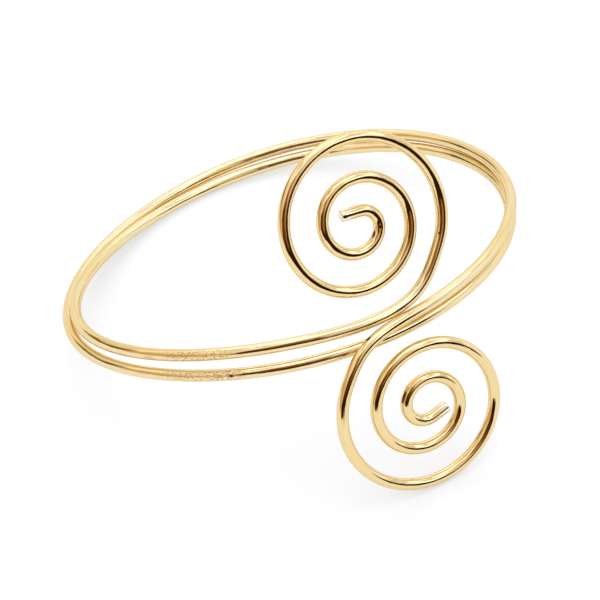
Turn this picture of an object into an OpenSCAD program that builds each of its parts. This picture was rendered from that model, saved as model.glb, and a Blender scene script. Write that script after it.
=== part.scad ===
// Upper arm cuff bent from one length of round wire: a flat spiral, two turns of band round the arm
// and a second flat spiral below the first. Millimetres. It lies as it does on a table, on the edge of
// the lower spiral and the back of the band, with both spirals facing the front (-Y).
// Angles of the band count from the front round the left side; angles of a spiral count in its own
// face from the right, anticlockwise seen from the front.

/* [Wire] */
// thickness of the round wire
wire_d = 2.0; // [1.6:0.1:2.0]

/* [Band] */
// radius of the band, to the middle of the wire
band_r = 38.8; // [37:0.2:44]

/* [Upper spiral] */
// radius of the upper spiral where its last turn ends
upper_r = 14; // [12:0.5:15]
// height of its middle above the band, as a share of its radius
upper_rise = 1.23; // [1.2:0.01:1.4]
// distance of its middle in front of the band's middle, as a share of the band's radius
upper_front = 0.926; // [0.9:0.001:0.93]
// how far its face leans back, degrees
upper_lean = 9; // [4:1:12]

/* [Lower spiral] */
// radius of the lower spiral where its last turn ends
lower_r = 15.5; // [13:0.5:17]
// height of its middle above the band, as a share of its radius
lower_rise = -0.97; // [-1.1:0.01:-0.95]
// distance of its middle in front of the band's middle, as a share of the band's radius
lower_front = 1.066; // [1.06:0.001:1.1]
// distance of its middle to the right, as a share of its radius
lower_side = 0.07; // [0:0.01:0.12]

/* [Inner ends] */
// radius of the bend in the middle of the upper spiral, as a share of the spiral's radius
upper_eye = 0.2; // [0.18:0.01:0.22]
// radius of the bend in the middle of the lower spiral, as a share of the spiral's radius
lower_eye = 0.21; // [0.19:0.01:0.23]
// length of the straight that ends the upper spiral, in wire thicknesses
upper_end = 1.7; // [0.5:0.05:2]
// length of the straight that ends the lower spiral, in wire thicknesses
lower_end = 1.35; // [0.5:0.05:2]

/* [Hidden] */
// Where the wire of the band is held, one row every row_turn degrees from row_first on: how far outside
// band_r and how far above the band's level, both in wire thicknesses. It goes round twice. The second
// turn starts below the first at the front left, passes outside it and comes back on top of it.
row_first = -75;
row_turn = 45;
rows = [
    [-0.10, -3.35],
    [0.15, -0.55],
    [-0.15, 1.25],
    [-0.15, 1.45],
    [-0.40, 0.15],
    [-0.60, -0.50],
    [-0.45, -0.25],
    [-0.25, -0.05],
    [-0.15, -0.65],
    [-0.05, -1.15],
    [0.10, -0.90],
    [0.25, -0.10],
    [0.45, -0.95],
    [0.60, -0.45],
    [0.45, 0.75],
    [0.20, 0.90],
    [0.15, 0.35],
    [0.15, 0.05],
    [0.55, 0.15],
    [0.50, 0.85],
    [0.90, 1.80]
];

// Each list from here on has one value for the upper spiral, then one for the lower.
// Place of a spiral's middle from the band's middle: to the right, to the front and up.
side = [0, lower_side * lower_r];
front = [upper_front, lower_front] * band_r;
rise = [upper_rise * upper_r, lower_rise * lower_r];

// Turn of its face, back and to the side, in degrees.
lean = [upper_lean, 0];
face = [-0.7, -2];

// Its radius, and how it opens from the inner bend to the last turn, as shares of the radius.
radius = [upper_r, lower_r];
opens = [
    [0.26, 0.465, 0.55, 1.23, 1],
    [0.22, 0.39, 0.55, 0.97, 1]
];

// Angles in its face at which it starts, leaves its own curve and ends, and angles round the band at
// which it starts to ease into the band and has joined it.
start_angle = [698, 894];
leave_angle = [-35, 145];
end_angle = [-105, 75];
ease_angle = [-24, 740];
join_angle = [14, 704];

// Its inner end: radius and turn of the bend, and length of the straight.
eye = [upper_eye * upper_r, lower_eye * lower_r];
bend_angle = [92, 100];
straight = [upper_end, lower_end] * wire_d;

// Fineness of the wire: degrees between its sections on a spiral, in an inner bend and on the band,
// steps in the length where a spiral eases into the band, and corners of a section.
spiral_step = 8;
eye_step = 9;
band_step = 3;
ease_steps = 18;
corners = 12;

function unit(v) = v / norm(v);
function smooth(t) = t * t * t * (t * (6 * t - 15) + 10);
function stops(first, last, step) =
    let (n = round(abs(last - first) / step))
    [for (k = [0 : n]) first + (last - first) * k / n];
function back_to_front(list) = [for (k = [len(list) - 1 : -1 : 0]) list[k]];

// Four rows in turn, blended as a cubic spline.
function blend4(k, t) =
    (pow(1 - t, 3) * rows[k]
    + (3 * pow(t, 3) - 6 * t * t + 4) * rows[k + 1]
    + (3 * t * t - 3 * pow(t, 3) + 3 * t + 1) * rows[k + 2]
    + pow(t, 3) * rows[k + 3]) / 6;

// Middle of the wire on the band at an angle from the front.
function band(angle) =
    let (
        place = (angle - row_first) / row_turn - 1,
        held = wire_d * blend4(floor(place), place - floor(place)),
        r = band_r + held.x
    )
    [-r * sin(angle), -r * cos(angle), held.y];

// Directions in the face of spiral s: to the right, straight out of it, and up.
function right_of(s) = [cos(face[s]), sin(face[s]), 0];
function out_of(s) = [sin(face[s]) * cos(lean[s]), -cos(face[s]) * cos(lean[s]), sin(lean[s])];
function up_of(s) = -cross(right_of(s), out_of(s));

// How far spiral s has opened at share t of its way out.
function opening(s, t) =
    pow(1 - t, 4) * opens[s][0]
    + 4 * pow(1 - t, 3) * t * opens[s][1]
    + 6 * pow(1 - t, 2) * t * t * opens[s][2]
    + 4 * (1 - t) * pow(t, 3) * opens[s][3]
    + pow(t, 4) * opens[s][4];

// Middle of the wire on spiral s at an angle in its face.
function spiral(s, angle) =
    let (r = radius[s] * opening(s, (angle - start_angle[s]) / (end_angle[s] - start_angle[s])))
    [side[s], -front[s], rise[s]] + r * (cos(angle) * right_of(s) + sin(angle) * up_of(s));

// The inner end: a straight, then a tight bend that runs into the spiral.
function inner_end(s) =
    let (
        first = spiral(s, start_angle[s]),
        along = unit(first - spiral(s, start_angle[s] - 0.5)),
        inward = cross(out_of(s), along),
        bend = [
            for (a = back_to_front(stops(0, bend_angle[s], eye_step)))
                if (a > 0)
                    first + eye[s] * (sin(a) * along + (1 - cos(a)) * inward)
        ],
        tip = straight[s] * (cos(bend_angle[s]) * along + sin(bend_angle[s]) * inward)
    )
    concat([bend[0] + tip, bend[0] + tip / 2], bend);

// The length in which a spiral eases into the band.
function tail(s) =
    [
        for (k = [1 : ease_steps - 1])
            let (t = k / ease_steps, w = smooth(t))
            (1 - w) * spiral(s, leave_angle[s] + t * (end_angle[s] - leave_angle[s]))
            + w * band(ease_angle[s] + t * (join_angle[s] - ease_angle[s]))
    ];
function winding(s) =
    concat(
        inner_end(s),
        [for (a = stops(start_angle[s], leave_angle[s], spiral_step)) spiral(s, a)],
        tail(s)
    );

// The whole length of wire, from the middle of the upper spiral to the middle of the lower one.
path = concat(
    winding(0),
    [for (a = stops(join_angle[0], join_angle[1], band_step)) band(a)],
    back_to_front(winding(1))
);

// One section of the wire, square to its run, with its first corner away from the arm.
function section(k) =
    let (
        run = unit(path[min(k + 1, len(path) - 1)] - path[max(k - 1, 0)]),
        away = unit([path[k].x, path[k].y, 0]),
        first = unit(away - (away * run) * run),
        second = cross(run, first)
    )
    [
        for (c = [0 : corners - 1])
            path[k] + wire_d / 2 * (cos(c * 360 / corners) * first + sin(c * 360 / corners) * second)
    ];
skin = [for (k = [0 : len(path) - 1]) each section(k)];
sides = [
    for (k = [0 : len(path) - 2])
        for (c = [0 : corners - 1])
            let (a = k * corners + c, b = k * corners + (c + 1) % corners)
            each [[a, b + corners, b], [a, a + corners, b + corners]]
];
cut_ends = [
    for (c = [1 : corners - 2])
        let (last = (len(path) - 1) * corners)
        each [[0, c, c + 1], [last, last + c + 1, last + c]]
];

// How it lies: the foot is the lowest wire of the lower spiral, the heel the wire at the back of the
// first turn. The line from foot to heel is level, and the balance leans it a little to one side.
foot = spiral(1, 270);
heel = band(180);
lean_back = atan2(heel.z - foot.z, heel.y - foot.y);
lean_side = 0.6;
function laid(p) =
    let (y = p.y * cos(lean_back) + p.z * sin(lean_back), z = p.z * cos(lean_back) - p.y * sin(lean_back))
    [p.x * cos(lean_side) + z * sin(lean_side), y, z * cos(lean_side) - p.x * sin(lean_side)];
lying = [for (p = path) laid(p)];

// The origin is on the table, under the middle of the space that the cuff takes up.
function low(axis) = min([for (p = lying) p[axis]]);
function high(axis) = max([for (p = lying) p[axis]]);
middle = [(low(0) + high(0)) / 2, (low(1) + high(1)) / 2, low(2) - wire_d / 2];

module wire() {
    color([0.87, 0.72, 0.42])
        translate(-middle)
            rotate([-lean_back, lean_side, 0])
                polyhedron(points = skin, faces = concat(sides, cut_ends));
}

wire();
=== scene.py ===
from math import cos, pi, radians, sin, tau

import bmesh
import bpy
import numpy as np
from mathutils import Matrix, Vector


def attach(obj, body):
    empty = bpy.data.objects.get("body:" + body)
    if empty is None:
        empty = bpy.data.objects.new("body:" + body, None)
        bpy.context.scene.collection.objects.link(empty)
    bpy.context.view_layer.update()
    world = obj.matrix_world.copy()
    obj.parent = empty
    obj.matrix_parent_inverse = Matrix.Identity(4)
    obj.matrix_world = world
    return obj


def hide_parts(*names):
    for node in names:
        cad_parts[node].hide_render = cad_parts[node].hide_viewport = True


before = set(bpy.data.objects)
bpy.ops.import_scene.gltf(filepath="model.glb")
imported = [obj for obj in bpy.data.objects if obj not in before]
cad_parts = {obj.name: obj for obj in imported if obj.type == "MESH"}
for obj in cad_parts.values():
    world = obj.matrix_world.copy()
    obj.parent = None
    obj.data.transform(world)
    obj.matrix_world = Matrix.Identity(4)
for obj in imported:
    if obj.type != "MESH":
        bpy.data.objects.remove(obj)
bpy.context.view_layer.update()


# Camera. A long lens at about half a metre, to the left of the front and well above the table, held
# slightly askew, as the cuff was photographed.
mm = 0.001
bearing = radians(-23.55)
elevation = radians(44.91)
roll = radians(-8.26)
distance = 484 * mm
aim = Vector((-1.6, -0.6, 8.0)) * mm
away = Vector((sin(bearing) * cos(elevation), -cos(bearing) * cos(elevation), sin(elevation)))
lens = bpy.data.cameras.new("camera")
lens.sensor_width = 36
lens.lens = 169.1
lens.clip_start = 0.02
lens.clip_end = 20
camera = bpy.data.objects.new("camera", lens)
camera.matrix_world = (
    Matrix.Translation(aim + away * distance)
    @ away.to_track_quat("Z", "Y").to_matrix().to_4x4()
    @ Matrix.Rotation(roll, 4, "Z")
)
bpy.context.scene.collection.objects.link(camera)
bpy.context.scene.camera = camera
bpy.context.scene.view_settings.view_transform = "Standard"


# Table. The white sheet that the cuff lies on. It is quite matt, and it is lit a little from below, so
# that the shadows on it stay faint.
table_size = 600 * mm
sheet_white = (0.55, 0.555, 0.55, 1)
glow_white = (0.87, 0.92, 1.0, 1)
glow = 0.53
table_mesh = bpy.data.meshes.new("table")
table_mesh.from_pydata(
    [(x * table_size / 2, y * table_size / 2, 0) for x, y in ((-1, -1), (1, -1), (1, 1), (-1, 1))],
    [],
    [(0, 1, 2, 3)],
)
table = bpy.data.objects.new("table", table_mesh)
bpy.context.scene.collection.objects.link(table)
table_paint = bpy.data.materials.new("table_paint")
table_paint.use_nodes = True
table_shader = table_paint.node_tree.nodes["Principled BSDF"]
table_shader.inputs["Base Color"].default_value = sheet_white
table_shader.inputs["Emission Color"].default_value = glow_white
table_shader.inputs["Emission Strength"].default_value = glow
table_shader.inputs["Roughness"].default_value = 1.0
table_shader.inputs["Specular IOR Level"].default_value = 0.0
table_mesh.materials.append(table_paint)


# Light tent. White cloth lit from all round, brightest overhead, with a warm side wall on the left.
# Polished metal also mirrors what isn't cloth: the slot for the lens, the brown room behind it, and a
# dim corner at the back left.
class Socket:
    """A shader value, colour or place that can be worked with in Python sums."""

    def __init__(self, tree, link=None):
        self.tree = tree
        self.link = link

    def node(self, kind, settings=None, values=None, output=0):
        """Any node: its settings first, then the values or links of its sockets."""
        made = self.tree.nodes.new(kind)
        for name, value in (settings or {}).items():
            setattr(made, name, value)
        for name, value in (values or {}).items():
            if isinstance(value, Socket):
                self.tree.links.new(value.link, made.inputs[name])
            else:
                made.inputs[name].default_value = value
        return Socket(self.tree, made.outputs[output] if made.outputs else None)

    def math(self, operation, a, b=0.0):
        return self.node("ShaderNodeMath", {"operation": operation}, {0: a, 1: b})

    def __add__(self, other):
        return self.math("ADD", self, other)

    def __sub__(self, other):
        return self.math("SUBTRACT", self, other)

    def __mul__(self, other):
        return self.math("MULTIPLY", self, other)

    def __radd__(self, other):
        return self.math("ADD", other, self)

    def __rsub__(self, other):
        return self.math("SUBTRACT", other, self)

    def __rmul__(self, other):
        return self.math("MULTIPLY", other, self)

    def step(self, low, high):
        """0 below low, 1 above high and a soft rise between."""
        return self.node(
            "ShaderNodeMapRange",
            {"interpolation_type": "SMOOTHSTEP"},
            {"Value": self, "From Min": low, "From Max": high},
        )

    def mixed(self, share, first, second):
        """The first colour where share is 0, the second where it is 1."""
        return self.node("ShaderNodeMix", {"data_type": "RGBA"}, {0: share, 6: first, 7: second}, 2)

    def towards(self, colour, share):
        """This colour mixed with another one."""
        return self.mixed(share, self, colour)

    def vector(self, operation, other, output=0):
        """A sum with this place and another one. Output 1 gives a plain value."""
        return self.node("ShaderNodeVectorMath", {"operation": operation}, {0: self, 1: other}, output)

    def scaled(self, factors):
        """This place with its three coordinates multiplied."""
        return self.vector("MULTIPLY", factors)

    def part(self, axis):
        """One coordinate of this place."""
        return self.node("ShaderNodeSeparateXYZ", None, {0: self}, axis)

    def noise(self, scale, detail):
        return self.node("ShaderNodeTexNoise", None, {"Vector": self, "Scale": scale, "Detail": detail})


tent = bpy.data.worlds.new("light_tent")
tent.use_nodes = True
tent.node_tree.nodes.clear()
bpy.context.scene.world = tent
outlook = Socket(tent.node_tree).node("ShaderNodeTexCoord")
to_right, to_back, up = outlook.part(0), outlook.part(1), outlook.part(2)

# Degrees from the left round the front, and degrees above the table.
turn = outlook.math("ARCTAN2", 0 - to_back, 0 - to_right) * (180 / pi)
height = outlook.math("ARCSINE", up) * (180 / pi)

# The cloth is brighter on the right and overhead, slightly blue, and hangs in soft level folds.
right_side = to_right.step(-1.1, 0.4)
folds = outlook.scaled((1.2, 1.2, 5.5)).noise(1.6, 4).step(0.42, 0.6)
cloth = 1.08 + height.step(5, 40) * (0.10 + 0.19 * right_side) + 0.06 * height.step(40, 80)
cloth = cloth * (1 + 0.8 * height.step(6, 24) * (folds - 0.5))
seen = cloth.node("ShaderNodeCombineColor", None, {0: cloth, 1: cloth * 1.02, 2: cloth * 1.13})

# The warm side wall on the left ends above in a straight seam. The wall is brightest below the seam,
# and the seam itself is in shade.
seam_side = (0.82, -0.3, 0.49)
warm_wall = (1.04, 0.94, 0.68, 1)
bright_wall = (1.2, 1.15, 0.94, 1)
seam_shade = (0.62, 0.48, 0.28, 1)
above_seam = outlook.vector("DOT_PRODUCT", seam_side, 1) * (180 / pi)
seen = seen.towards(warm_wall, 0.75 * (1 - above_seam.step(-6, 2)))
seen = seen.towards(bright_wall, 0.5 * (above_seam.step(-26, -14) * (1 - above_seam.step(-6, -2))))
seen = seen.towards(seam_shade, 0.45 * (above_seam.step(-4, -1) * (1 - above_seam.step(-1, 2))))

# What else stands round the wire, where a later row covers an earlier one. Each row has how much of it
# shows, its left and right side and how soft they are, its bottom and its top and how soft each is, all
# in degrees, and its colour.
for share, (left, right, side_soft), (bottom, bottom_soft), (top, top_soft), colour in (
    (0.80, (-168, -118, 12), (10, 6), (38, 8), (1.18, 1.17, 0.92, 1)),  # bright cloth, back right
    (0.37, (-12, 108, 14), (40, 6), (72, 8), (0.85, 0.62, 0.36, 1)),  # warm cloth, high in front
    (0.40, (-171, -150, 8), (0, 5), (16, 6), (0.82, 0.62, 0.34, 1)),  # tan board, right
    (0.45, (-100, -60, 8), (4, 3), (27, 6), (0.80, 0.54, 0.24, 1)),  # tan board, back left
    (0.81, (-45, 24, 10), (2, 2), (31, 11), (0.64, 0.36, 0.145, 1)),  # brown wall, left
    (0.95, (32, 78, 8), (4, 3), (60, 6), (0.34, 0.155, 0.04, 1)),  # dark room, front left
    (0.65, (76, 104, 8), (10, 4), (42, 6), (0.62, 0.36, 0.12, 1)),  # brown wall, front
    (0.86, (76, 136, 6), (-12, 2), (25, 5), (0.34, 0.16, 0.025, 1)),  # dark room, front right
    (1.00, (27, 76, 3), (7, 3), (37, 5), (0.12, 0.04, 0.009, 1)),  # darkest part of the room
    (1.00, (34, 82, 4), (0.5, 1.5), (13, 3), (0.03, 0.011, 0.0005, 1)),  # slot for the lens, left
    (1.00, (78, 128, 4), (-6, 1.5), (13, 2.5), (0.03, 0.011, 0.0005, 1)),  # slot for the lens, right
    (1.00, (102, 128, 4), (-4, 1.5), (26, 3), (0.03, 0.013, 0.001, 1)),  # dark post at its right end
    (0.95, (-84, -58, 6), (-1.5, 2), (9, 3), (0.19, 0.17, 0.005, 1)),  # dim olive corner, back left
    (0.95, (-61, -41, 5), (-1, 2), (19, 4), (0.10, 0.075, 0.001, 1)),  # dark edge of that corner
):
    across = turn.step(left - side_soft, left + side_soft)
    across = across * (1 - turn.step(right - side_soft, right + side_soft))
    upright = height.step(bottom - bottom_soft, bottom + bottom_soft)
    upright = upright * (1 - height.step(top - top_soft, top + top_soft))
    seen = seen.towards(colour, share * (across * upright))

# The camera itself sees plain white behind the table.
light = seen.node("ShaderNodeBackground", None, {"Color": seen, "Strength": 1.0})
backdrop = seen.node("ShaderNodeBackground", None, {"Color": (1, 1, 1, 1), "Strength": 1.0})
straight_on = seen.node("ShaderNodeLightPath")
either = seen.node("ShaderNodeMixShader", None, {0: straight_on, 1: light, 2: backdrop})
either.node("ShaderNodeOutputWorld", None, {"Surface": either})


# The wire. One length of round brass wire, plated in pale gold and polished. It is wound by hand into a
# flat spiral, twice round the arm and into a second spiral, and both its ends are cut square.
wire_radius = 1.0 * mm
corners = 28
section_step = 0.31 * mm
cut_edge = 0.2 * mm

# The middles of the sections of the CAD wire, ring by ring from its upper cut end.
solid = bmesh.new()
solid.from_mesh(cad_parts["wire"].data)
bmesh.ops.remove_doubles(solid, verts=solid.verts, dist=0.005 * mm)
rims = [e for e in solid.edges if len(e.link_faces) == 2 and e.calc_face_angle() > radians(60)]
upper_cut = max((v for e in rims for v in e.verts), key=lambda v: v.co.z).co.copy()
ring = {v for e in rims for v in e.verts if (v.co - upper_cut).length < 4 * wire_radius}
passed = set(ring)
run = []
while ring:
    run.append(sum((v.co for v in ring), Vector()) / len(ring))
    ring = {e.other_vert(v) for v in ring for e in v.link_edges} - passed
    passed |= ring
solid.free()
run = np.array(run)

# How much the wire bends at each of them, when a smooth curve is laid through all.
chord = np.linalg.norm(np.diff(run, axis=0), axis=1)
knots = np.concatenate([[0], np.cumsum(chord)])
slope = np.diff(run, axis=0) / chord[:, None]
inner = np.arange(1, len(run) - 1)
balance = np.eye(len(run))
balance[inner, inner - 1] = chord[:-1]
balance[inner, inner] = 2 * (chord[:-1] + chord[1:])
balance[inner, inner + 1] = chord[1:]
swing = np.zeros((len(run), 3))
swing[inner] = 6 * np.diff(slope, axis=0)
bend = np.linalg.solve(balance, swing)

# The middles and the headings of the finer sections along that curve, closer together at both cuts.
# Each lies between two rings: the last one it has passed and the one ahead.
length = knots[-1]
rounding = cut_edge * np.array([0, 0.04, 0.15, 0.4, 0.7, 1])
plain = np.arange(cut_edge + section_step, length - cut_edge, section_step)
along = np.concatenate([rounding, plain, length - rounding[::-1]])
last = np.clip(np.searchsorted(knots, along) - 1, 0, len(run) - 2)
span = chord[last][:, None]
ahead = (along - knots[last])[:, None] / span
back = 1 - ahead
middle = back * run[last] + ahead * run[last + 1]
middle += ((back**3 - back) * bend[last] + (ahead**3 - ahead) * bend[last + 1]) * span * span / 6
veer = (1 - 3 * back * back) * bend[last] + (3 * ahead * ahead - 1) * bend[last + 1]
heading = slope[last] + veer * span / 6
heading /= np.linalg.norm(heading, axis=1)[:, None]

# The tube round that curve, a little thinner at the two cut ends, where the edge is rubbed round.
outward = middle * [1, 1, 0]
outward -= (outward * heading).sum(1)[:, None] * heading
outward /= np.linalg.norm(outward, axis=1)[:, None]
sideways = np.cross(heading, outward)
facing = np.arange(corners) * tau / corners
inset = np.clip(1 - np.minimum(along, length - along) / cut_edge, 0, 1)
thick = wire_radius - cut_edge * (1 - np.sqrt(1 - inset**2))
cosine = np.cos(facing)[None, :, None]
sine = np.sin(facing)[None, :, None]
points = middle[:, None] + thick[:, None, None] * (cosine * outward[:, None] + sine * sideways[:, None])
last_row = (len(along) - 1) * corners
faces = []
for row in range(0, last_row, corners):
    for corner in range(corners):
        beside = (corner + 1) % corners
        faces.append((row + corner, row + beside, row + corners + beside, row + corners + corner))
cut_faces = [list(range(corners))[::-1], list(range(last_row, last_row + corners))]
wire_mesh = bpy.data.meshes.new("gold_wire")
wire_mesh.from_pydata(points.reshape(-1, 3).tolist(), [], faces + cut_faces)
wire_mesh.polygons.foreach_set("use_smooth", [True] * len(faces) + [False] * len(cut_faces))

# Where each point lay while the wire was still straight, in millimetres: the drawing lines, the marks
# and the wear follow that.
straight = np.empty((len(along), corners, 3))
straight[:, :, 0] = along[:, None] / mm
straight[:, :, 1] = np.cos(facing)[None, :] * thick[:, None] / mm
straight[:, :, 2] = np.sin(facing)[None, :] * thick[:, None] / mm
drawn = wire_mesh.attributes.new("drawn", "FLOAT_VECTOR", "POINT")
drawn.data.foreach_set("vector", straight.ravel())
wire = bpy.data.objects.new("gold_wire", wire_mesh)
bpy.context.scene.collection.objects.link(wire)

# The plate: gentle waves, fine lines along the wire from its drawing, and a grain under the polish.
gold = bpy.data.materials.new("polished_gold_plate")
gold.use_nodes = True
gold_shader = gold.node_tree.nodes["Principled BSDF"]
gold_shader.inputs["Metallic"].default_value = 1.0
gold_shader.inputs["Specular Tint"].default_value = (0.92, 0.78, 0.55, 1)
gold_shader.inputs["Coat Weight"].default_value = 0.15
gold_shader.inputs["Coat Roughness"].default_value = 0.03
place = Socket(gold.node_tree).node("ShaderNodeAttribute", {"attribute_name": "drawn"}, None, 1)
waves = place.scaled((0.16, 0.5, 0.5)).noise(1.0, 2)
lines = place.scaled((0.06, 3.6, 3.6)).noise(1.0, 3)
grain = place.scaled((2.2, 5.0, 5.0)).noise(1.0, 2)
warmth = place.scaled((0.05, 0.3, 0.3)).noise(1.0, 2)

# Handling marks, each with its millimetres along the wire, the way it faces in degrees, its length, its
# width and how deep it is.
nicks = 0
for at, angle, long, wide, depth in (
    (9.9, 92, 1.1, 0.3, 1.0),  # pliers, bend of the upper end
    (8.4, 33, 0.4, 0.3, 0.7),  # pliers, the same bend
    (126.9, 73, 0.3, 0.25, 0.9),  # nick, last turn of the upper spiral
    (411.0, 28, 0.45, 0.3, 1.0),  # nick, second turn of the band
    (636.6, 106, 0.6, 0.45, 0.8),  # rubbed where the lower spiral leaves the band
    (763.3, 80, 1.2, 0.4, 0.8),  # pliers, bend of the lower end
    (184.5, 4, 1.9, 0.4, 0.22),  # dull smear, first turn of the band
    (0.5, 333, 0.4, 0.35, 0.9),  # burr at the upper cut
):
    centre = (at, cos(radians(angle)), sin(radians(angle)))
    offset = place.vector("SUBTRACT", centre).scaled((1 / long, 1 / wide, 1 / wide))
    reach = offset.vector("LENGTH", (0, 0, 0), 1)
    nicks = nicks + depth * (1 - reach.step(0.3, 1.0))

# A dull, finely pitted stretch on the front of both turns of the band.
from_tip = place.part(0)
first_turn = from_tip.step(168, 172) * (1 - from_tip.step(177, 184))
second_turn = from_tip.step(408, 411) * (1 - from_tip.step(418, 426))
scuffed = first_turn + second_turn
front_side = place.vector("DOT_PRODUCT", (0, 0.82, 0.57), 1)
pits = scuffed * front_side.step(0.45, 0.85) * grain.step(0.5, 0.62)

# The two cuts show bare brass with the lines of the shear, and the plate beside them is worn pale.
wear_first = 0.3
wear_last = 2.4
whole = length / mm
cut = 1 - place.scaled((0, 1, 1)).vector("LENGTH", (0, 0, 0), 1).step(0.85, 0.89)
shear = place.scaled((0, 1.5, 9)).noise(1.0, 3)
worn = 1 - from_tip.step(wear_first, wear_last) * (1 - from_tip.step(whole - wear_last, whole - wear_first))

# The spirals are painted warmer gold than the band: painted warm reflection of the gold's own bounce light.
pale_gold = (0.85, 0.705, 0.41, 1)
# Warm gold: the plate's random warm tone, and on the spirals a painted warm reflection.
warm_gold_and_reflection = (0.86, 0.665, 0.33, 1)
line_brown = (0.60, 0.40, 0.18, 1)
pit_brown = (0.38, 0.21, 0.08, 1)
worn_plate = (0.95, 0.90, 0.74, 1)
nick_brown = (0.14, 0.045, 0.02, 1)
bare_brass = (0.96, 0.90, 0.78, 1)
on_band = from_tip.step(115, 150) * (1 - from_tip.step(615, 650))
# Share of warm gold: random tone of the plate, plus painted warm reflection on both spirals.
warm_tone_and_reflection = 0.35 * warmth.step(0.35, 0.75) + 0.65 * (1 - on_band)
colour = place.mixed(warm_tone_and_reflection, pale_gold, warm_gold_and_reflection)
colour = colour.towards(line_brown, 0.35 * lines.step(0.56, 0.72))
colour = colour.towards(pit_brown, 0.75 * pits)
colour = colour.towards(worn_plate, 0.85 * worn)
colour = colour.towards(nick_brown, nicks.step(0.05, 0.5))
colour = colour.towards(bare_brass, cut)
roughness = 0.03 + 0.04 * lines.step(0.4, 0.7) + 0.03 * grain + 0.12 * scuffed + 0.25 * nicks + 0.3 * cut
relief = waves + 0.07 * lines + 0.04 * grain + 0.12 * pits - 0.3 * nicks + 0.3 * (cut * shear)
bump = place.node("ShaderNodeBump", None, {"Height": relief, "Distance": 0.10 * mm, "Strength": 1.0})
for name, value in (("Base Color", colour), ("Roughness", roughness), ("Normal", bump)):
    gold.node_tree.links.new(value.link, gold_shader.inputs[name])
wire_mesh.materials.append(gold)
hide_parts("wire")
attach(wire, "root")
